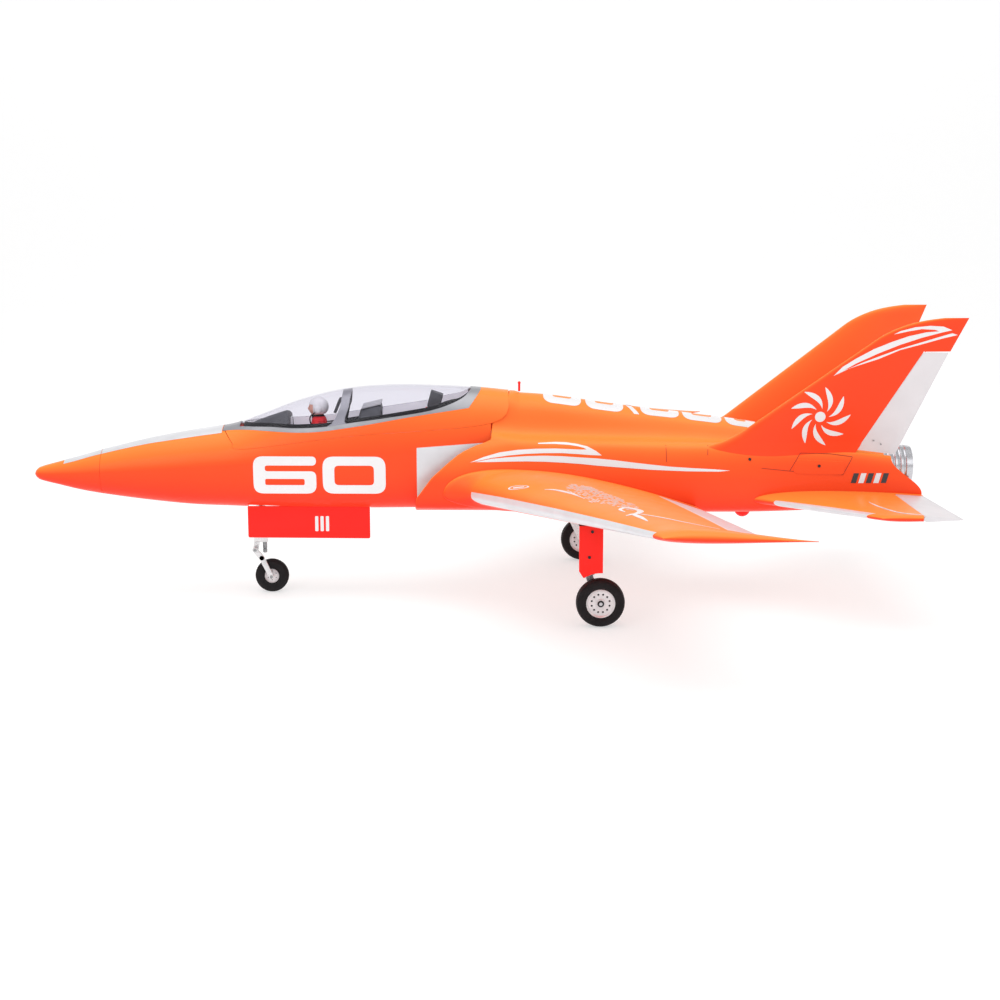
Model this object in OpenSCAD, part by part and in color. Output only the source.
// Twin-fin sport jet model: ducted fan, two-seat canopy, retractable tricycle gear.
// Stations run aft from the nose tip, y is starboard, z is height above the ground.
// place() moves the stations so that the origin lies under the middle of the aircraft.

/* [Airframe] */
// Length from nose tip to the aft corner of the fins
overall_length = 1426; // [1424:1:1428]
// Wing span, tip to tip
wing_span = 1200; // [1196:1:1204]
// Wall of the foam body shells
skin_wall = 3; // [2.6:0.1:3.4]
// Height of the thrust line above the ground
thrust_z = 201; // [200:0.5:202]
// Gap along each seam between body shells
seam_gap = 0.5; // [0.4:0.1:0.7]

/* [Landing gear] */
// Main wheel diameter
main_wheel_d = 72; // [70:1:73]
// Main wheel width
main_wheel_w = 24; // [22:1:25]
// Distance between the main wheels' centre planes
main_track = 455; // [453:1:457]
// Nose wheel diameter
nose_wheel_d = 53; // [51:1:54]
// Nose wheel width
nose_wheel_w = 16; // [14:1:17]
// Axle diameter
axle_d = 5; // [4:0.5:6]
// Radial running clearance of every pin in its hole
pin_clearance = 0.05; // [0.03:0.01:0.08]

/* [Ducted fan] */
// Bore of the fan housing
fan_bore_d = 90.4; // [90:0.2:91]
// Number of rotor blades
blade_count = 12; // [9:1:12]
// Bore of the tail nozzle at its open end
nozzle_bore_d = 57; // [55:1:58]
// Length of the tail nozzle
nozzle_len = 62; // [58:1:66]

/* [Hinges] */
// Clearance around the rounded nose of a control surface
hinge_gap = 0.8; // [0.7:0.1:1]
// Gap at the ends of a control surface
end_gap = 2; // [2:0.5:3]

/* [Hidden] */

tip_y = wing_span / 2;
tiny = 0.01;

// Envelope of the front body with the canopy closed:
// station, top, bottom, half width, height of the widest point, upper and lower roundness
BODY = [[0, 191.8, 190.2, 0.8, 191, 2, 2], [2, 196.3, 186.6, 4.8, 191.2, 2, 2],
    [8, 201.5, 181.8, 9.8, 191.5, 2, 2], [40, 210.6, 173.5, 18.4, 192.5, 2, 2],
    [71, 218.7, 166, 25.8, 194, 2, 2], [108, 229, 159.6, 34, 196.5, 2, 2.1],
    [182, 247, 149.8, 46, 201, 2, 2.2], [250, 259.5, 143.2, 53, 206, 2, 2.3],
    [315, 270.5, 140.6, 57.5, 210, 2, 2.4], [355, 284.5, 139.2, 59.5, 212, 2, 2.4],
    [418, 308, 137.8, 61.5, 215, 2.05, 2.5], [488, 325, 137.4, 63.5, 218, 2.1, 2.5],
    [560, 331, 137.6, 65.5, 220, 2.2, 2.6], [640, 329.5, 138.3, 66, 224, 2.2, 2.6],
    [700, 326, 138.4, 66, 226, 2.2, 2.6], [748, 321, 138.4, 64, 228, 2.2, 2.6]];
nose_seam_x = 108;
core_end_x = 744;
shoulder_cut = [715, 250];

// Half outline of the main body at seven stations: station, then y, z pairs from the top centre
// over the spine, the shoulder, the side and the belly corner to the bottom centre
MAIN = [[600, 0, 321, 36, 309, 60.5, 270, 82, 253, 101, 206, 97, 160, 75, 140.5, 0, 134.6],
    [700, 0, 320, 34, 306, 59, 267, 88, 251, 103, 206, 100, 160, 77, 140.6, 0, 134.8],
    [800, 0, 315, 32, 301, 57, 262, 90, 249, 104, 206, 101, 160, 77, 140.8, 0, 135],
    [900, 0, 301, 30, 289, 55, 257, 90, 248, 104, 205, 101, 160, 76, 140.8, 0, 135],
    [1000, 0, 288, 29, 279, 53, 253, 90, 246, 103, 204, 99, 160, 75, 140.8, 0, 135],
    [1100, 0, 275, 28, 267, 52, 247, 89, 245, 100, 203, 96, 160, 73, 141, 0, 135.6],
    [1180, 0, 262, 29, 254, 52, 239, 89.5, 242, 98.5, 202, 96, 161, 72, 142.5, 0, 138.5],
    [1260, 0, 251, 31, 241, 54, 228, 90, 238, 98.5, 201, 96, 164, 75, 147, 0, 147],
    [1326, 0, 245, 32, 233, 58, 216, 90, 230, 98, 200, 96, 168, 78, 154, 0, 157]];
main_start = 600;
main_end = 1326;
rake_fade_x = 760;
tail_hole_r = 36.5;
ring_parts = 4;

// Raked front edge of the intake cheeks and spine: height, station
LIP = [[140, 600], [148, 600.5], [167, 602], [200, 626], [221, 650], [236, 669], [247, 693],
    [254, 716], [277, 719], [319, 745.5], [324, 748]];

// Seams of the hatch and canopy in side view
HATCH_SEAM = [[303, 262], [316, 245], [337, 237], [505, 258], [716, 277], [744, 319]];
FRAME_LINE = [[299, 262], [342, 265], [431, 263], [505, 272], [592, 287], [681, 300], [700, 325]];
GLASS_LINE = [[325, 268], [371, 270], [416, 269], [460, 271.5], [502, 278], [549, 284.5],
    [622, 296], [666, 311], [684, 324]];
above_all = 350;

// Wing: leading and trailing edge as y, station, height; thickness above and below the chord
wing_root_y = 106.5;
wing_le = [[110, 678, 175], [tip_y, 925, 209]];
wing_te = [[130, 1030, 156], [540, 1058, 198.5]];
flap_in_y = 145;
surface_split_y = 345;
aileron_out_y = 540;
stab_root_y = 101;
stab_tip_y = 300;
fin_top_z = 444;

// Gear pivots
main_pivot = [866, 214, 172];
main_knee = [855, 78];
main_axle = [874, main_wheel_d / 2];
nose_pivot = [352, 155];
nose_knee = [343, 70];
nose_axle = [368, nose_wheel_d / 2];
door_hinge = [-27, 142];
door_x = [335, 526];
door_h = 51;
fan_x = 925;
fan_len = 66;
duct_end_x = 905;
nozzle_end_x = 1376;

// ---------- functions ----------
function clamp01(t) = min(1, max(0, t));
function ease(t) = let(u = clamp01(t)) u * u * (3 - 2 * u);
function mix(a, b, t) = a + (b - a) * t;
function row_of(t, x, i = 0) = (i >= len(t) - 2 || x < t[i + 1][0]) ? i : row_of(t, x, i + 1);
function slope_at(t, i, k) = let(a = max(0, i - 1), b = min(len(t) - 1, i + 1))
    (t[b][k] - t[a][k]) / (t[b][0] - t[a][0]);
// Smooth curve through column k of a table of stations
function smooth(t, x, k) = let(i = row_of(t, x), h = t[i + 1][0] - t[i][0], u = (x - t[i][0]) / h,
    a = t[i][k], b = t[i + 1][k], p = slope_at(t, i, k) * h, q = slope_at(t, i + 1, k) * h)
    a * (2 * u * u * u - 3 * u * u + 1) + b * (3 * u * u - 2 * u * u * u)
    + p * (u * u * u - 2 * u * u + u) + q * (u * u * u - u * u);
function spline(a, b, c, d, u) = 0.5 * (2 * b + (c - a) * u + (2 * a - 5 * b + 4 * c - d) * u * u
    + (3 * b - a - 3 * c + d) * u * u * u);
function power(v, e) = sign(v) * pow(abs(v), e);

// Cross-section of the front body, shrunk by an inset
function body_ring(x, inset, count) = let(top = smooth(BODY, x, 1), low = smooth(BODY, x, 2),
    half = smooth(BODY, x, 3), mid = smooth(BODY, x, 4), nt = smooth(BODY, x, 5), nb = smooth(BODY, x, 6))
    [for (i = [0 : count - 1]) let(a = 360 * (i + 0.5) / count, n = sin(a) > 0 ? nt : nb,
        h = sin(a) > 0 ? top - mid - inset : mid - low - inset)
        [x, (half - inset) * power(cos(a), 2 / n), mid + h * power(sin(a), 2 / n)]];

// Half outline of the main body with its mirror points, for the spline
function main_half(s, inset) = let(
    p = [for (k = [0 : 7]) [smooth(MAIN, s, 1 + 2 * k), smooth(MAIN, s, 2 + 2 * k)]],
    pull = [[0, -1], [-0.7, -0.8], [-1, -0.5], [-0.7, -1], [-1, 0], [-1, 0.3], [-0.4, 1], [0, 1]])
    [for (k = [0 : 7]) p[k] + pull[k] * inset];
function main_points(p) = let(n = len(p), e = concat([[-p[1][0], p[1][1]]], p, [[-p[n - 2][0], p[n - 2][1]]]))
    concat([for (i = [0 : n - 2], j = [0 : ring_parts - 1])
        spline(e[i], e[i + 1], e[i + 2], e[i + 3], j / ring_parts)], [p[n - 1]]);
function front_rake(s, z) = (lookup(z, LIP) - main_start)
    * clamp01((rake_fade_x - s) / (rake_fade_x - main_start));
function aft_rake(s, y, z) = 48 * ease((227 - z) / 54) * ease((abs(y) - 58) / 16) * clamp01((s - 1270) / 56);
function main_ring(s, inset, bore) = let(h = main_points(main_half(s, inset)), n = len(h),
    shut = ease((s - 1292) / 30) * bore,
    full = concat(h, [for (i = [n - 2 : -1 : 1]) [-h[i][0], h[i][1]]]), m = len(full))
    [for (i = [0 : m - 1]) let(a = 360 * i / m, z = full[i][1], y = full[i][0],
        hole = [tail_hole_r * sin(a), thrust_z + tail_hole_r * cos(a)])
        [s + front_rake(s, z) + aft_rake(s, y, z), mix(y, hole[0], shut), mix(z, hole[1], shut)]];

// Thickness form of every lifting surface, 1 at its thickest
function foil(s) = 10 * (0.2969 * sqrt(s) - 0.126 * s - 0.3516 * s * s + 0.2843 * pow(s, 3) - 0.1015 * pow(s, 4));
function foil_list(count) = concat([for (k = [0 : count]) [0.5 + 0.5 * cos(180 * k / count), 1]],
    [for (k = [count - 1 : -1 : 0]) [0.5 + 0.5 * cos(180 * k / count), -1]]);
function line_at(e, y, k) = e[0][k] + (e[1][k] - e[0][k]) * (y - e[0][0]) / (e[1][0] - e[0][0]);

// Wing planform with the root fillet and the raked tip
function wing_le_x(y) = line_at(wing_le, y, 1) - 32 * pow(clamp01((122 - y) / 15.5), 2);
function wing_le_z(y) = line_at(wing_le, y, 2);
function wing_te_x(y) = line_at(wing_te, y, 1) + 58 * pow(clamp01((y - aileron_out_y) / 60), 1.6);
function wing_te_z(y) = line_at(wing_te, y, 2);
function wing_tip_fade(y) = sqrt(max(0.06, 1 - pow(clamp01((y - tip_y + 26) / 26), 2)));
function wing_up(y) = mix(44, 11, clamp01((y - 110) / 450)) * wing_tip_fade(y);
function wing_low(y) = mix(20, 7, clamp01((y - 110) / 450)) * wing_tip_fade(y);
function wing_frac(x, y) = (x - wing_le_x(y)) / (wing_te_x(y) - wing_le_x(y));
function wing_chord_z(x, y) = mix(wing_le_z(y), wing_te_z(y), wing_frac(x, y));
function wing_top(x, y) = wing_chord_z(x, y) + wing_up(y) * foil(wing_frac(x, y)) + 0.4;
function wing_under(x, y) = wing_chord_z(x, y) - wing_low(y) * foil(wing_frac(x, y)) - 0.4;
function wing_ring(y, k) = [for (p = foil_list(k)) let(s = p[0])
    [mix(wing_le_x(y), wing_te_x(y), s), y, mix(wing_le_z(y), wing_te_z(y), s)
        + (p[1] > 0 ? wing_up(y) * foil(s) + 0.4 : -wing_low(y) * foil(s) - 0.4)]];
function hinge_x(y) = mix(966, 1016, (y - flap_in_y) / (aileron_out_y - flap_in_y));
// The hinge line is straight, and set by the wing's thickness at its two ends
function hinge_part(y) = (y - flap_in_y) / (aileron_out_y - flap_in_y);
function wing_mid(y) = [hinge_x(y), y, (wing_top(hinge_x(y), y) + wing_under(hinge_x(y), y)) / 2];
function wing_half(y) = (wing_top(hinge_x(y), y) - wing_under(hinge_x(y), y)) / 2;
function hinge_point(y) = mix(wing_mid(flap_in_y), wing_mid(aileron_out_y), hinge_part(y));
function hinge_r(y) = mix(wing_half(flap_in_y), wing_half(aileron_out_y), hinge_part(y));

function stab_le_x(y) = mix(1118, 1269, (y - 98) / 202);
function stab_te_x(y) = mix(1374, 1385, (y - 110) / 190);
function stab_half(y) = mix(11, 4.5, (y - 98) / 202) * sqrt(max(0.1, 1 - pow(clamp01((y - 290) / 10), 2)));
function stab_z(y, s) = mix(mix(164, 174, (y - 98) / 202), mix(171, 172, (y - 98) / 202), s);
function stab_ring(y, k) = [for (p = foil_list(k)) let(s = p[0])
    [mix(stab_le_x(y), stab_te_x(y), s), y, stab_z(y, s) + p[1] * (stab_half(y) * foil(s) + 0.3)]];
elevator_x = 1332;
elevator_span = [108, 304];
function elevator_part(y) = (y - elevator_span[0]) / (elevator_span[1] - elevator_span[0]);
function elevator_frac(y) = (elevator_x - stab_le_x(y)) / (stab_te_x(y) - stab_le_x(y));
function stab_mid(y) = [elevator_x, y, stab_z(y, elevator_frac(y))];
function elevator_point(y) = mix(stab_mid(elevator_span[0]), stab_mid(elevator_span[1]), elevator_part(y));
function elevator_end_r(y) = mix(11, 4.5, (y - 98) / 202) * foil(elevator_frac(y)) + 0.3;
function elevator_r(y) = mix(elevator_end_r(elevator_span[0]), elevator_end_r(elevator_span[1]), elevator_part(y));

function fin_y(z) = 87 + 0.2 * (z - 240);
function fin_le_x(z) = 1101 + 1.36 * (z - 272) - 34 * pow(clamp01((272 - z) / 40), 2)
    + 30 * pow(clamp01((z - 413) / 31), 2) + 25 * pow(clamp01((z - 413) / 31), 8);
function fin_te_x(z) = overall_length - 0.457 * (fin_top_z - z);
function fin_half(z) = mix(8, 3.6, clamp01((z - 240) / 200)) * sqrt(max(0.12, 1 - pow(clamp01((z - 430) / 14), 2)));
function fin_ring(z, k) = [for (p = foil_list(k)) let(s = p[0])
    [mix(fin_le_x(z), fin_te_x(z), s), fin_y(z) + p[1] * (fin_half(z) * foil(s) + 0.3), z]];
// Foot of the fin, resting just above the shoulder of the main body, with a ridge over its crest
function main_over(x) = let(h = main_points(main_half(min(x, main_end - 2), 0)))
    [for (i = [2 * ring_parts : 4 * ring_parts]) h[i]];
function over_shoulder(x, y) = [x, y, lookup(y, main_over(x)) + 2.7];
function fin_foot(k) = [for (p = fin_ring(240, k)) over_shoulder(p[0], p[1])];
function fin_foot_ridge(k) = let(f = fin_ring(240, k)) [for (i = [1 : k - 1])
    over_shoulder(f[i][0], min(90.2, f[i][1] - 0.2))];
function main_side_y(x, z) = let(h = main_points(main_half(x, 0)))
    lookup(z, [for (i = [5 * ring_parts : -1 : 3 * ring_parts]) [h[i][1], h[i][0]]]);
function rudder_x(z) = 1272 + 91 * (z - 235) / 156;
function rudder_point(z) = [rudder_x(z), fin_y(z), z];
function rudder_r(z) = fin_half(z) * foil((rudder_x(z) - fin_le_x(z)) / (fin_te_x(z) - fin_le_x(z))) + 0.3;

// Duct section: a tall slot at the cheek, a raised oval above the wheel well, half a disc at the fan
function duct_ring(x, inset, count) = let(a = ease((x - 735) / 95), b = ease((x - 832) / 93))
    [for (i = [0 : count - 1]) let(t = 360 * (i + 0.5) / count, c = cos(t), s = sin(t),
        p = [81.5 + (14.8 - inset) * power(c, 0.75), 194 + (36 - inset) * power(s, 0.75)],
        q = [33 + (30 - inset) * power(c, 0.8), 223 + (34 - inset) * power(s, 0.8)],
        r = [max(1 + inset, (fan_bore_d / 2 + 1.6 - inset) * c), thrust_z + (fan_bore_d / 2 + 1.6 - inset) * s],
        yz = mix(mix(p, q, a), r, b)) [x, yz[0], yz[1]]];

// ---------- polyhedron helpers ----------
function skin(rows, n, base, turn) = [for (i = [0 : rows - 2], j = [0 : n - 1])
    let(a = base + i * n + j, b = base + i * n + (j + 1) % n, c = a + n, d = b + n)
    each turn ? [[a, b, d], [a, d, c]] : [[a, d, b], [a, c, d]]];
function rim(n, outer, inner, turn) = [for (j = [0 : n - 1]) let(k = (j + 1) % n)
    each turn ? [[outer + j, inner + k, outer + k], [outer + j, inner + j, inner + k]]
    : [[outer + j, outer + k, inner + k], [outer + j, inner + k, inner + j]]];
function up_to(n) = [for (i = [0 : n - 1]) i];
function down_from(n, base) = [for (i = [n - 1 : -1 : 0]) base + i];
function flat(rings) = [for (r = rings) each r];

// Triangles across the first ring of a foil loft, folded along a ridge of points that start at c
function ridge_cap(k, c) = concat([[0, 1, c], [0, c, 2 * k], [c, 2 * k - 1, 2 * k]],
    [for (i = [1 : k - 2]) let(r = c + i - 1, a = 2 * k - i)
        each [[i, i + 1, r], [i + 1, r + 1, r], [r, r + 1, a - 1], [r, a - 1, a]]],
    [[k - 1, k, c + k - 2], [c + k - 2, k, k + 1]]);

// Closed loft; turn is true where the rings run clockwise about the loft direction
module loft(rings, turn = false, first_cap = [], ridge = []) {
    n = len(rings[0]);
    rows = len(rings);
    last = (rows - 1) * n;
    start = len(first_cap) > 0 ? first_cap : [turn ? down_from(n, 0) : up_to(n)];
    end = [turn ? [for (i = up_to(n)) last + i] : down_from(n, last)];
    polyhedron(concat(flat(rings), ridge), concat(skin(rows, n, 0, turn), start, end), convexity = 6);
}

// Hollow loft, open at both ends
module tube_loft(outer, inner, turn = false) {
    n = len(outer[0]);
    rows = len(outer);
    base = rows * n;
    last = (rows - 1) * n;
    polyhedron(concat(flat(outer), flat(inner)), concat(skin(rows, n, 0, turn), skin(rows, n, base, !turn),
        rim(n, 0, base, turn), rim(n, last, base + last, !turn)), convexity = 10);
}

module place() { translate([-overall_length / 2, 0, 0]) children(); }
module port() { mirror([0, 1, 0]) children(); }
// Plate drawn in side view and extruded across the aircraft
module side_prism(points, y0, y1) {
    translate([0, y1, 0]) rotate([90, 0, 0]) linear_extrude(y1 - y0) polygon(points);
}
// Plate drawn in plan and extruded upwards
module plan_prism(points, z0, z1) { translate([0, 0, z0]) linear_extrude(z1 - z0) polygon(points); }
module x_rod(x0, x1, y, z, r) { translate([x0, y, z]) rotate([0, 90, 0]) cylinder(h = x1 - x0, r = r, $fn = 48); }
module y_rod(x, y0, y1, z, r) { translate([x, y1, z]) rotate([90, 0, 0]) cylinder(h = y1 - y0, r = r, $fn = 48); }
module z_rod(x, y, z0, z1, r) { translate([x, y, z0]) cylinder(h = z1 - z0, r = r, $fn = 48); }
// Cone between two points, used along every hinge line
module cone_between(a, b, ra, rb) {
    d = b - a;
    translate(a) rotate([0, acos(d[2] / norm(d)), atan2(d[1], d[0])])
        cylinder(h = norm(d), r1 = ra, r2 = rb, $fn = 48);
}

// ---------- body shells ----------
body_x = [108, 145, 182, 216, 250, 283, 315, 335, 355, 386, 418, 453, 488, 524, 560, 600, 640, 670, 700, 724];
body_count = 36;

module body_shell(stations, outer_inset, inner_inset) {
    tube_loft([for (x = stations) body_ring(x, outer_inset, body_count)],
        [for (x = stations) body_ring(x, inner_inset, body_count)]);
}

module nose_cone() {
    outer_x = [0, 2, 8, 24, 40, 71, nose_seam_x - seam_gap];
    inner_x = [12, 24, 40, 71, nose_seam_x - seam_gap];
    color("darkorange") place() difference() {
        loft([for (x = outer_x) body_ring(x, 0, body_count)]);
        loft([for (x = inner_x) body_ring(x + (x > 100 ? tiny : 0), skin_wall, body_count)]);
    }
}

hatch_cut = concat([[298.4, 261.2], [302.6, 261.2]], [for (i = [1 : len(HATCH_SEAM) - 1]) HATCH_SEAM[i]],
    [[core_end_x, above_all], [298.4, above_all]]);
hatch_edge = [[303 + seam_gap, 262], [316 + seam_gap, 245 + seam_gap], [337, 237 + seam_gap],
    [505, 258 + seam_gap], [716 - seam_gap, 277 + seam_gap], [744 - 2 * seam_gap, 319]];

module front_fuselage() {
    x = concat([nose_seam_x], [for (v = body_x) if (v > nose_seam_x) v], [core_end_x]);
    color("orangered") place() difference() {
        body_shell(x, 0, skin_wall);
        side_prism(hatch_cut, -90, 90);
        translate([shoulder_cut[0], -90, shoulder_cut[1]]) cube([60, 180, 120]);
        translate([door_x[0] - 1, door_hinge[0] - 2, 120]) cube([door_x[1] - door_x[0] + 2, 50, 40]);
    }
}

main_x = [600, 625, 650, 680, 710, 740, 770, 810, 850, 900, 950, 1000, 1050, 1100, 1140, 1180, 1220,
    1260, 1284, 1300, 1312, main_end];
module main_shell() {
    tube_loft([for (s = main_x) main_ring(s, 0, 0)], [for (s = main_x) main_ring(s, skin_wall, 1)], turn = true);
}

module main_fuselage() {
    color("orangered") place() difference() {
        main_shell();
        for (side = [0, 1]) mirror([0, side, 0]) {
            wheel_well();
            cone_between(spar_start, spar_end, 5.6, 5.6);
        }
    }
}

// ---------- ducted fan ----------
module intake_ducts() {
    x = [736, 755, 775, 795, 813, 832, 850, 868, 886, duct_end_x];
    color("whitesmoke") place() for (side = [0, 1]) mirror([0, side, 0])
        tube_loft([for (v = x) duct_ring(v, 0, 24)], [for (v = x) duct_ring(v, 1.4, 24)]);
}

module fan_ring(x0, x1, r_out, r_in) {
    translate([x0, 0, thrust_z]) rotate([0, 90, 0]) difference() {
        cylinder(h = x1 - x0, r = r_out, $fn = 96);
        translate([0, 0, -1]) cylinder(h = x1 - x0 + 2, r = r_in, $fn = 96);
    }
}

module fan_housing() {
    bore_r = fan_bore_d / 2;
    color("dimgray") place() {
        fan_ring(duct_end_x + 1, fan_x + fan_len, bore_r + 1.8, bore_r);
        fan_ring(fan_x + 34, fan_x + fan_len - 2, 20, 17.2);
        for (a = [0 : 72 : 359]) translate([fan_x + 38, 0, thrust_z]) rotate([a, 0, 0])
            translate([0, -0.9, 18.5]) cube([20, 1.8, bore_r - 17.5]);
        for (side = [-1, 1]) translate([fan_x + 20, side * (bore_r + 4.3) - 4, thrust_z - 3]) cube([30, 8, 6]);
    }
}

module fan_motor() {
    color("slategray") place() {
        x_rod(fan_x + 38, fan_x + 92, 0, thrust_z, 17);
        x_rod(fan_x + 12, fan_x + 38.5, 0, thrust_z, 4);
        translate([fan_x + 91, 0, thrust_z]) rotate([0, 90, 0]) cylinder(h = 22, r1 = 17, r2 = 5, $fn = 48);
    }
}

module fan_rotor() {
    hub_r = 19;
    blade_r = fan_bore_d / 2 - 0.7;
    color("silver") place() translate([fan_x, 0, thrust_z]) difference() {
        union() {
            rotate([0, 90, 0]) rotate_extrude($fn = 64) polygon(concat([[0, -16]],
                [for (a = [10 : 10 : 90]) [hub_r * sin(a), 8 - 24 * cos(a)]], [[hub_r, 32], [0, 32]]));
            intersection() {
                for (i = [0 : blade_count - 1]) rotate([i * 360 / blade_count, 0, 0]) translate([20, 0, 0])
                    rotate([0, 0, 38]) translate([-11, -0.8, hub_r - 2]) cube([22, 1.6, blade_r]);
                translate([-5, 0, 0]) rotate([0, 90, 0]) cylinder(h = 40, r = blade_r, $fn = 96);
            }
        }
        translate([11, 0, 0]) rotate([0, 90, 0]) cylinder(h = 40, r = 4 + pin_clearance, $fn = 48);
    }
}

module thrust_tube() {
    x0 = fan_x + fan_len + 0.5;
    x1 = nozzle_end_x - nozzle_len + 14;
    r0 = fan_bore_d / 2;
    r1 = nozzle_bore_d / 2 + 0.8;
    color("gainsboro") place() translate([x0, 0, thrust_z]) rotate([0, 90, 0]) rotate_extrude($fn = 96)
        polygon([[r0, 0], [r0 + 1.2, 0], [r0 + 1.2, 30], [r1 + 1.2, x1 - x0], [r1, x1 - x0], [r0, 30]]);
}

module tail_nozzle() {
    r = nozzle_bore_d / 2;
    ribs = 5;
    color("silver") place() translate([nozzle_end_x - nozzle_len, 0, thrust_z]) rotate([0, 90, 0])
        rotate_extrude($fn = 96) polygon(concat([[r, 16], [r + 3.4, 16], [r + 3.4, 0], [r + 6, 0]],
            [for (i = [0 : ribs - 1]) let(z = 12 + i * 9) each [[r + 5.2 - i * 0.35, z],
                [r + 4.2 - i * 0.35, z + 1], [r + 4.2 - i * 0.35, z + 3], [r + 5.2 - i * 0.35, z + 4]]],
            [[r + 2, nozzle_len], [r, nozzle_len]]));
}

// ---------- equipment ----------
module battery_tray() {
    color("tan") place() difference() {
        translate([528, -31, 149]) cube([184, 62, 3]);
        for (x = [560, 610, 660], y = [-28.5, 24.5]) translate([x, y, 140]) cube([22, 4, 20]);
    }
}
module battery_pack() { color("royalblue") place() translate([545, -23, 152.2]) cube([145, 46, 44]); }
module speed_controller() {
    color("black") place() {
        translate([722, -17, 144]) cube([58, 34, 10]);
        for (i = [0 : 6]) translate([726 + i * 7.5, -15, 153.9]) cube([3, 30, 5]);
    }
}
module receiver() { color("darkslateblue") place() translate([640, 24, 152.2]) cube([38, 11, 20]); }

module servo_block() {
    cube([23, 12, 22], center = true);
    translate([0, 0, 6]) cube([32, 12, 2], center = true);
    translate([-6, 0, 10.9]) cylinder(h = 4, r = 2.4, $fn = 32);
}
servo_spots = [[905, 410, 0], [905, 275, 0], [1262, 150, 1]];
function servo_z(p) = p[2] == 0 ? wing_under(p[0], p[1]) + 6.4 : 168.6;
module flight_servos() {
    color("dimgray") place() for (side = [0, 1]) mirror([0, side, 0]) {
        for (p = servo_spots) translate([p[0], p[1], servo_z(p)]) rotate([90, 0, 0]) servo_block();
        translate([1200, 70, 208]) rotate([0, 90, 0]) servo_block();
    }
}
module servo_pockets(kind) {
    for (p = servo_spots) if (p[2] == kind) translate([p[0] - 17, p[1] - 16, servo_z(p) - 30]) cube([34, 29, 36.6]);
}

module servo_covers() {
    z0 = 208;
    color("orangered") place() for (side = [0, 1]) mirror([0, side, 0])
        side_panel([[1176, z0], [1180, z0 - 2], [1250, z0 - 5], [1254, z0 - 2], [1254, z0 + 15], [1176, z0 + 18]]);
}
// Thin plate that follows the side of the main body
module side_panel(points) {
    intersection() {
        tube_loft([for (s = [1165, 1215, 1265]) main_ring(s, -1.4, 0)],
            [for (s = [1165, 1215, 1265]) main_ring(s, -0.3, 0)], turn = true);
        side_prism(points, 70, 130);
    }
}

module airframe_screws() {
    spots = [[1109, 227, 0.9], [1215, 216.5, 1.4]];
    color("dimgray") place() for (side = [0, 1]) mirror([0, side, 0]) for (p = spots) {
        y = main_side_y(p[0], p[1]) + p[2];
        y_rod(p[0], y - 0.2, y + 1.2, p[1], 2.2);
    }
}

module antenna_pin() {
    color("red") place() {
        z_rod(760, 0, 319.8, 333, 1.8);
        translate([760, 0, 333]) sphere(r = 2.4, $fn = 32);
    }
}
module belly_dome() {
    color("red") place() translate([1114, 0, smooth(MAIN, 1114, 16) - 0.5]) intersection() {
        translate([0, 0, 4]) sphere(r = 10.5, $fn = 48);
        translate([-15, -15, -15]) cube([30, 30, 15]);
    }
}

// ---------- wing ----------
spar_start = [795, 3, 160.5];
spar_end = [795, 262, 178.5];

module wheel_well() {
    translate([833, 38, 110]) cube([91, 84, 64]);
    translate([843, 60, 110]) cube([43, 62, 79]);
    translate([837, 115, 110]) cube([60, 91, 79]);
    translate([837, 200, 110]) cube([60, 50, 76]);
}

// Everything aft of a hinge line, between two span stations, with the round cove
module wing_cove(y0, y1) {
    cone_between(hinge_point(y0), hinge_point(y1), hinge_r(y0) + hinge_gap, hinge_r(y1) + hinge_gap);
    plan_prism([[hinge_x(y0), y0], [hinge_x(y1), y1], [1130, y1], [1130, y0]], 100, 260);
}

module wing_panel() {
    y = [wing_root_y, 111, 116, 122, 150, 200, 260, 345, 450, 540, 562, 574, 584, 592, 597, tip_y];
    difference() {
        loft([for (v = y) wing_ring(v, 9)], turn = true);
        wing_cove(flap_in_y, aileron_out_y);
        wheel_well();
        servo_pockets(0);
        cone_between(spar_start, spar_end, 5.15, 5.15);
    }
}

module wing_right() { color("darkorange") place() wing_panel(); }
module wing_left() { color("darkorange") place() port() wing_panel(); }

module wing_spar_tubes() {
    color("black") place() for (side = [0, 1]) mirror([0, side, 0]) difference() {
        cone_between(spar_start, spar_end - [0, 2, 0.1], 5, 5);
        cone_between(spar_start - [0, 1, 0.07], spar_end, 4, 4);
    }
}

// Control surface: a round nose on the hinge line and a wedge back to the trailing edge
module hinged_wedge(a, b, ra, rb, te_a, te_b, up, turn = false) {
    edge = 0.45;
    wa = ra * 0.95;
    wb = rb * 0.95;
    cone_between(a, b, ra, rb);
    loft([[a + up * wa, te_a + up * edge, te_a - up * edge, a - up * wa],
        [b + up * wb, te_b + up * edge, te_b - up * edge, b - up * wb]], turn);
}
module wing_surface(y0, y1) {
    hinged_wedge(hinge_point(y0), hinge_point(y1), hinge_r(y0), hinge_r(y1),
        [wing_te_x(y0), y0, wing_te_z(y0)], [wing_te_x(y1), y1, wing_te_z(y1)], [0, 0, 1]);
}
module flap() { wing_surface(flap_in_y + end_gap, surface_split_y - end_gap / 2); }
module aileron() { wing_surface(surface_split_y + end_gap / 2, aileron_out_y - end_gap); }
module flap_right() { color("silver") place() flap(); }
module flap_left() { color("silver") place() port() flap(); }
module aileron_right() { color("silver") place() aileron(); }
module aileron_left() { color("silver") place() port() aileron(); }

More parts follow.
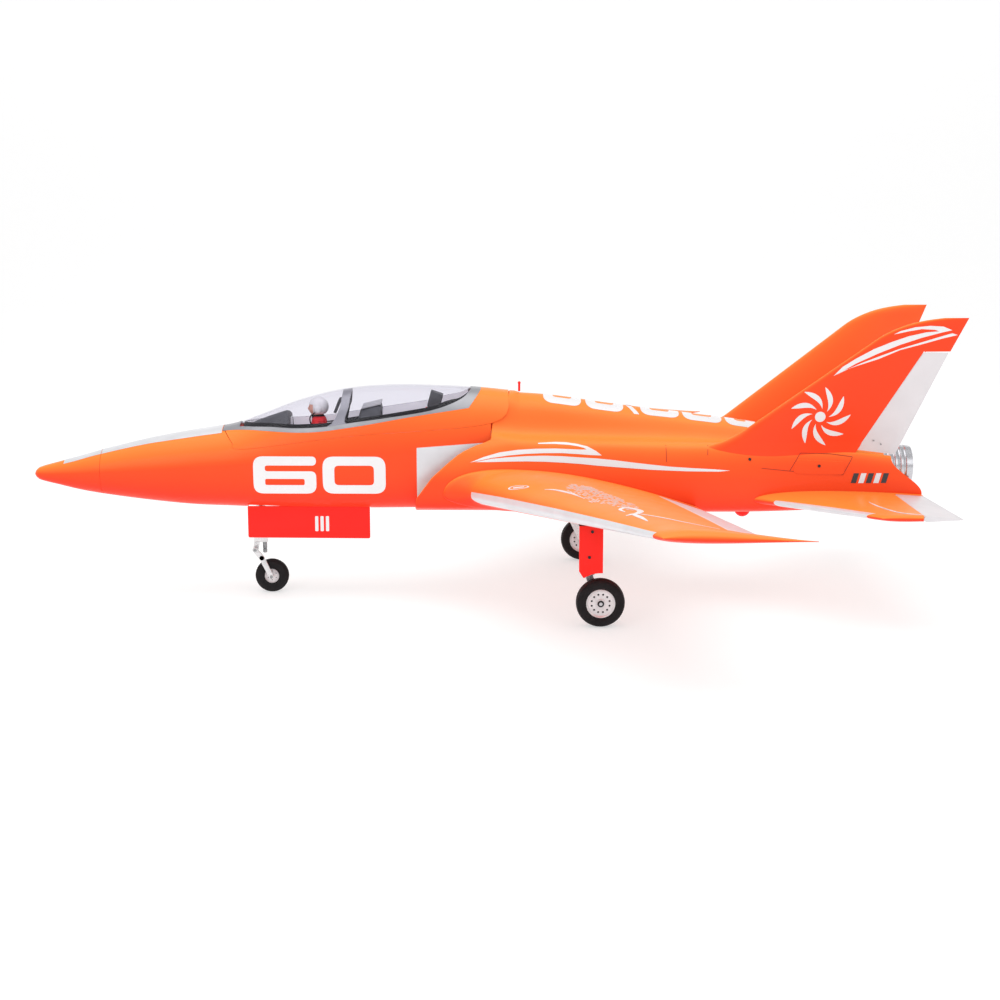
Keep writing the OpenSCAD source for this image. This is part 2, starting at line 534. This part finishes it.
// ---------- tail ----------
module stab_panel() {
    y = [stab_root_y, 140, 190, 240, 286, 292, 297, stab_tip_y];
    y0 = elevator_span[0];
    y1 = elevator_span[1];
    difference() {
        loft([for (v = y) stab_ring(v, 8)], turn = true);
        cone_between(elevator_point(y0), elevator_point(y1), elevator_r(y0) + hinge_gap, elevator_r(y1) + hinge_gap);
        plan_prism([[elevator_x, y0], [elevator_x, y1], [1420, y1], [1420, y0]], 120, 220);
        servo_pockets(1);
    }
}
module stab_right() { color("darkorange") place() stab_panel(); }
module stab_left() { color("darkorange") place() port() stab_panel(); }
module elevator() {
    y0 = elevator_span[0] + end_gap;
    y1 = stab_tip_y - 0.5;
    hinged_wedge(elevator_point(y0), elevator_point(y1), elevator_r(y0), elevator_r(y1),
        [stab_te_x(y0), y0, 171], [stab_te_x(y1), y1, 172], [0, 0, 1]);
}
module elevator_right() { color("silver") place() elevator(); }
module elevator_left() { color("silver") place() port() elevator(); }

rudder_low_z = 242;
rudder_high_z = 391;
module rudder_cut() {
    foot = rudder_low_z - 12;
    top = rudder_high_z + 2;
    cone_between(rudder_point(foot), rudder_point(top), rudder_r(foot) + hinge_gap, rudder_r(top) + hinge_gap);
    side_prism([[rudder_x(foot) - 1, 200], [rudder_x(foot) - 1, foot], [rudder_x(top) + 1, top],
        [1440, top], [1440, 200]], 70, 150);
}
module fin_panel() {
    z = [256, 264, 272, 306, 350, 403, 413, 424, 432, 438, 442, fin_top_z];
    sides = 8;
    difference() {
        loft(concat([fin_foot(sides)], [for (v = z) fin_ring(v, sides)]),
            first_cap = ridge_cap(sides, (len(z) + 1) * (2 * sides + 1)), ridge = fin_foot_ridge(sides));
        rudder_cut();
    }
}
module fin_right() { color("darkorange") place() fin_panel(); }
module fin_left() { color("darkorange") place() port() fin_panel(); }
module rudder() {
    a = rudder_point(rudder_low_z);
    b = rudder_point(rudder_high_z);
    hinged_wedge(a, b, rudder_r(rudder_low_z), rudder_r(rudder_high_z), [1325, fin_y(237), 237],
        [1400.2, fin_y(rudder_high_z), rudder_high_z], [0, 1, 0], true);
}
module rudder_right() { color("silver") place() rudder(); }
module rudder_left() { color("silver") place() port() rudder(); }

// ---------- hatch and cockpit ----------
hatch_x = [299, 315, 335, 355, 386, 418, 453, 488, 524, 560, 600, 640, 670, 700, 724, 743];
frame_top = [[700, above_all], [684, above_all]];
function reversed(list) = [for (i = [len(list) - 1 : -1 : 0]) list[i]];
function lifted(list, dz) = [for (p = list) [p[0], p[1] + dz]];

module hatch_shell() {
    zone = concat(hatch_edge, [[744 - 2 * seam_gap, above_all], [700.4, above_all]],
        reversed(lifted(FRAME_LINE, -0.3)));
    color("darkorange") place() intersection() {
        body_shell(hatch_x, 0, skin_wall);
        side_prism(zone, -90, 90);
    }
}
module canopy_frame() {
    zone = concat(FRAME_LINE, frame_top, reversed(GLASS_LINE), [[325, above_all], [299.5, above_all]]);
    color("silver") place() {
        intersection() {
            body_shell(hatch_x, 0, skin_wall);
            side_prism(zone, -90, 90);
        }
        intersection() {
            body_shell([470, 488, 506, 524], 2.3, 4.8);
            side_prism([[481, 270], [498, above_all], [509, above_all], [491, 270]], -90, 90);
        }
    }
}
module canopy_glass() {
    zone = concat(lifted(GLASS_LINE, 0.6), [[683, above_all], [326, above_all]]);
    color("lightsteelblue", 0.5) place() intersection() {
        body_shell(hatch_x, 0.2, 1.6);
        side_prism(zone, -90, 90);
    }
}
tub_plan = [[330, 18], [420, 42], [560, 47], [660, 44], [694, 28]];
function both_sides(p) = concat(p, [for (i = [len(p) - 1 : -1 : 0]) [p[i][0], -p[i][1]]]);
module cockpit_tub() {
    color("dimgray") place() difference() {
        plan_prism(both_sides(tub_plan), 246, 262);
        plan_prism(both_sides([for (p = tub_plan) [p[0] + (p[0] < 400 ? 2 : -2), p[1] - 2]]), 248, 270);
    }
}
module cockpit_panels() {
    color("black") place() intersection() {
        loft([for (x = [330, 355, 386, 418, 520, 560, 650, 695]) body_ring(x, 5, 24)]);
        union() {
            side_prism([[333, 262.2], [345, 272], [385, 286], [404, 292], [409, 290], [404, 262.2]], -38, 38);
            side_prism([[522, 262.2], [524, 294], [532, 302], [546, 302], [552, 294], [556, 262.2]], -40, 40);
            side_prism([[655, 262.2], [655, 300], [690, 300], [690, 262.2]], -24, 24);
        }
    }
}
module seat(x, top) {
    hull() {
        translate([x, -15, 249]) cube([8, 30, 2]);
        translate([x + 14, -14, top - 30]) cube([8, 28, 2]);
    }
    hull() {
        translate([x + 13, -12, top - 28]) cube([9, 24, 2]);
        translate([x + 17, -9, top - 2]) cube([8, 18, 2]);
    }
    translate([x - 34, -16, 248.2]) cube([36, 32, 12]);
}
module cockpit_seats() {
    color("dimgray") place() {
        seat(470, 313);
        seat(612, 321);
    }
}
module pilot_bust() {
    color("crimson") place() {
        hull() {
            translate([450, -13, 261]) cube([16, 26, 2]);
            translate([452, -17, 276]) cube([10, 34, 5]);
        }
        z_rod(456, 0, 280, 291, 6);
        translate([453, 0, 302]) sphere(r = 12.5, $fn = 48);
    }
}
module hatch_magnets() { color("silver") place() for (x = [348, 676]) z_rod(x, 0, 242.8, 245.9, 5); }

// ---------- wheels ----------
module tyre(d, w, rim_d) {
    r = d / 2;
    rr = rim_d / 2;
    side = 10;
    rotate([90, 0, 0]) rotate_extrude($fn = 96) polygon(concat(
        [for (a = [-90 : 180 / side : 90]) [r - w * 0.42 + w * 0.42 * cos(a), w / 2 * sin(a)]],
        [[rr, w / 2 - 1.5], [rr, -w / 2 + 1.5]]));
}
module rim_disc(rim_d, w, bore_r, holes) {
    rr = rim_d / 2 - 0.02;
    rotate([90, 0, 0]) difference() {
        rotate_extrude($fn = 96) polygon([[0, -w / 2 + 1], [5.5, -w / 2 + 1], [7, -w / 2 + 4], [rr - 4, -w / 2 + 4],
            [rr - 2, -w / 2 + 1], [rr, -w / 2 + 2], [rr, w / 2 - 2], [rr - 2, w / 2 - 1], [rr - 4, w / 2 - 4],
            [7, w / 2 - 4], [5.5, w / 2 - 1], [0, w / 2 - 1]]);
        translate([0, 0, -w]) cylinder(h = 2 * w, r = bore_r, $fn = 48);
        for (i = [0 : holes - 1]) rotate(i * 360 / holes) translate([rr * 0.63, 0, -w])
            cylinder(h = 2 * w, r = rr * 0.065, $fn = 24);
    }
}

// ---------- main gear ----------
plate_y = [231.6, 234];
plate_screws = [[861, 143], [857, 105]];
wheel_y = main_track / 2;
arm_y0 = 201;
arm_y1 = 207;
module main_retract_unit() {
    x0 = main_pivot[0] - 22;
    difference() {
        translate([x0, 204, 163]) cube([44, 42, 20.5]);
        translate([main_pivot[0] - 11, 190, 150]) cube([22, 40, 40]);
        x_rod(x0 - 1, x0 + 60, main_pivot[1], main_pivot[2], 3 + pin_clearance);
    }
}
module main_retract_units() { color("gray") place() for (side = [0, 1]) mirror([0, side, 0]) main_retract_unit(); }

module main_strut() {
    x = main_pivot[0];
    y = main_pivot[1];
    difference() {
        union() {
            x_rod(x - 21, x + 21, y, main_pivot[2], 3);
            x_rod(x - 10, x + 10, y, main_pivot[2], 8);
            z_rod(x, y, 84, main_pivot[2] - 2, 5);
            translate([main_knee[0] - 6, y - 5, main_knee[1] - 7]) cube([17, 5.8, 17]);
            for (p = plate_screws) {
                translate([x - 12, y - 6.5, p[1] - 4.5]) cube([17, 23.9, 9]);
                y_rod(p[0], y, plate_y[1] + 0.1, p[1], 1.4);
                y_rod(p[0], plate_y[1] + 0.1, plate_y[1] + 1.3, p[1], 2.3);
            }
        }
        y_rod(main_knee[0], 190, 230, main_knee[1], 2.5 + pin_clearance);
    }
}
module main_strut_right() { color("silver") place() main_strut(); }
module main_strut_left() { color("silver") place() port() main_strut(); }

module gear_plate() {
    x0 = 842;
    x1 = 877;
    cut_r = main_wheel_d / 2 + 9;
    difference() {
        side_prism([[x0, 149], [x1, 149], [x1, 60], [849, 60], [848, 73], [x0, 84]], plate_y[0], plate_y[1]);
        y_rod(main_axle[0], 225, 240, main_axle[1], cut_r);
        for (p = plate_screws) y_rod(p[0], 225, 240, p[1], 1.5);
    }
}
module gear_plate_right() { color("red") place() gear_plate(); }
module gear_plate_left() { color("red") place() port() gear_plate(); }

module main_arm() {
    difference() {
        union() {
            hull() {
                y_rod(main_knee[0], arm_y0, arm_y1, main_knee[1], 6);
                y_rod(main_axle[0], arm_y0, arm_y1, main_axle[1], 5.5);
            }
            y_rod(main_knee[0], arm_y0 - 1.5, 215, main_knee[1], 2.5);
            y_rod(main_axle[0], arm_y0 - 1.5, wheel_y + main_wheel_w / 2 + 0.6, main_axle[1], axle_d / 2);
        }
    }
}
module main_arm_right() { color("silver") place() main_arm(); }
module main_arm_left() { color("silver") place() port() main_arm(); }

main_rim_d = 43;
module main_wheel_at() { translate([main_axle[0], wheel_y, main_axle[1]]) children(); }
module main_rim_right() {
    color("lightgray") place() main_wheel_at() rim_disc(main_rim_d, main_wheel_w, axle_d / 2 + pin_clearance, 12);
}
module main_rim_left() {
    color("lightgray") place() port() main_wheel_at()
        rim_disc(main_rim_d, main_wheel_w, axle_d / 2 + pin_clearance, 12);
}
module main_tyre_right() { color("black") place() main_wheel_at() tyre(main_wheel_d, main_wheel_w, main_rim_d); }
module main_tyre_left() { color("black") place() port() main_wheel_at() tyre(main_wheel_d, main_wheel_w, main_rim_d); }

// ---------- nose gear ----------
module nose_retract_unit() {
    color("gray") place() difference() {
        translate([330, -17, 148.5]) cube([44, 34, 21.5]);
        translate([325, -11, 130]) cube([60, 22, 36]);
        y_rod(nose_pivot[0], -20, 20, nose_pivot[1], 3 + pin_clearance);
    }
}
module nose_leg_block() {
    color("silver") place() difference() {
        union() {
            y_rod(nose_pivot[0], -16.5, 16.5, nose_pivot[1], 3);
            y_rod(nose_pivot[0], -10, 10, nose_pivot[1], 8);
            z_rod(nose_pivot[0], 0, 130, nose_pivot[1], 7);
        }
        z_rod(nose_pivot[0], 0, 120, 146, 3.5 + pin_clearance);
    }
}
module nose_strut() {
    color("silver") place() difference() {
        union() {
            z_rod(nose_pivot[0], 0, 92, 145.8, 3.5);
            z_rod(nose_pivot[0], 0, 92, 129.7, 5);
            translate([344, -7, 84]) cube([18, 14, 11]);
            translate([338, -3, 65]) cube([8, 6, 22]);
            z_rod(357.5, 0, 63, 85, 3.4);
        }
        y_rod(nose_knee[0], -20, 20, nose_knee[1], 2 + pin_clearance);
    }
}
nose_arm_y = -11.5;
module nose_arm() {
    color("silver") place() {
        hull() {
            y_rod(nose_knee[0], nose_arm_y - 3, nose_arm_y, nose_knee[1], 4.4);
            y_rod(nose_axle[0], nose_arm_y - 3, nose_arm_y, nose_axle[1], 4);
        }
        y_rod(nose_knee[0], nose_arm_y - 3, 5, nose_knee[1], 2);
        y_rod(nose_axle[0], nose_arm_y - 3, nose_wheel_w / 2 + 0.6, nose_axle[1], 2);
    }
}
nose_rim_d = 23;
module nose_rim() {
    color("lightgray") place() translate([nose_axle[0], 0, nose_axle[1]])
        rim_disc(nose_rim_d, nose_wheel_w, 2 + pin_clearance, 6);
}
module nose_tyre() {
    color("black") place() translate([nose_axle[0], 0, nose_axle[1]])
        tyre(nose_wheel_d, nose_wheel_w, nose_rim_d);
}
module nose_door() {
    color("red") place() {
        translate([door_x[0], door_hinge[0] - 1, door_hinge[1] - door_h]) cube([door_x[1] - door_x[0], 2, door_h - 1.5]);
        for (x = [353, 429, 502]) x_rod(x, x + 10, door_hinge[0], door_hinge[1], 1.6);
        for (x = [353, 429, 502]) translate([x, door_hinge[0] - 1, door_hinge[1] - 3]) cube([10, 2, 3]);
    }
}

nose_cone();
front_fuselage();
main_fuselage();
intake_ducts();
fan_housing();
fan_motor();
fan_rotor();
thrust_tube();
tail_nozzle();
battery_tray();
battery_pack();
speed_controller();
receiver();
wing_left();
wing_right();
wing_spar_tubes();
fin_left();
fin_right();
stab_left();
stab_right();
flight_servos();
servo_covers();
airframe_screws();
antenna_pin();
belly_dome();
hatch_shell();
canopy_frame();
canopy_glass();
cockpit_tub();
cockpit_panels();
cockpit_seats();
pilot_bust();
hatch_magnets();
aileron_left();
aileron_right();
flap_left();
flap_right();
elevator_left();
elevator_right();
rudder_left();
rudder_right();
nose_retract_unit();
nose_leg_block();
nose_strut();
nose_arm();
nose_rim();
nose_tyre();
nose_door();
main_retract_units();
main_strut_left();
main_strut_right();
gear_plate_left();
gear_plate_right();
main_arm_left();
main_arm_right();
main_rim_left();
main_rim_right();
main_tyre_left();
main_tyre_right();
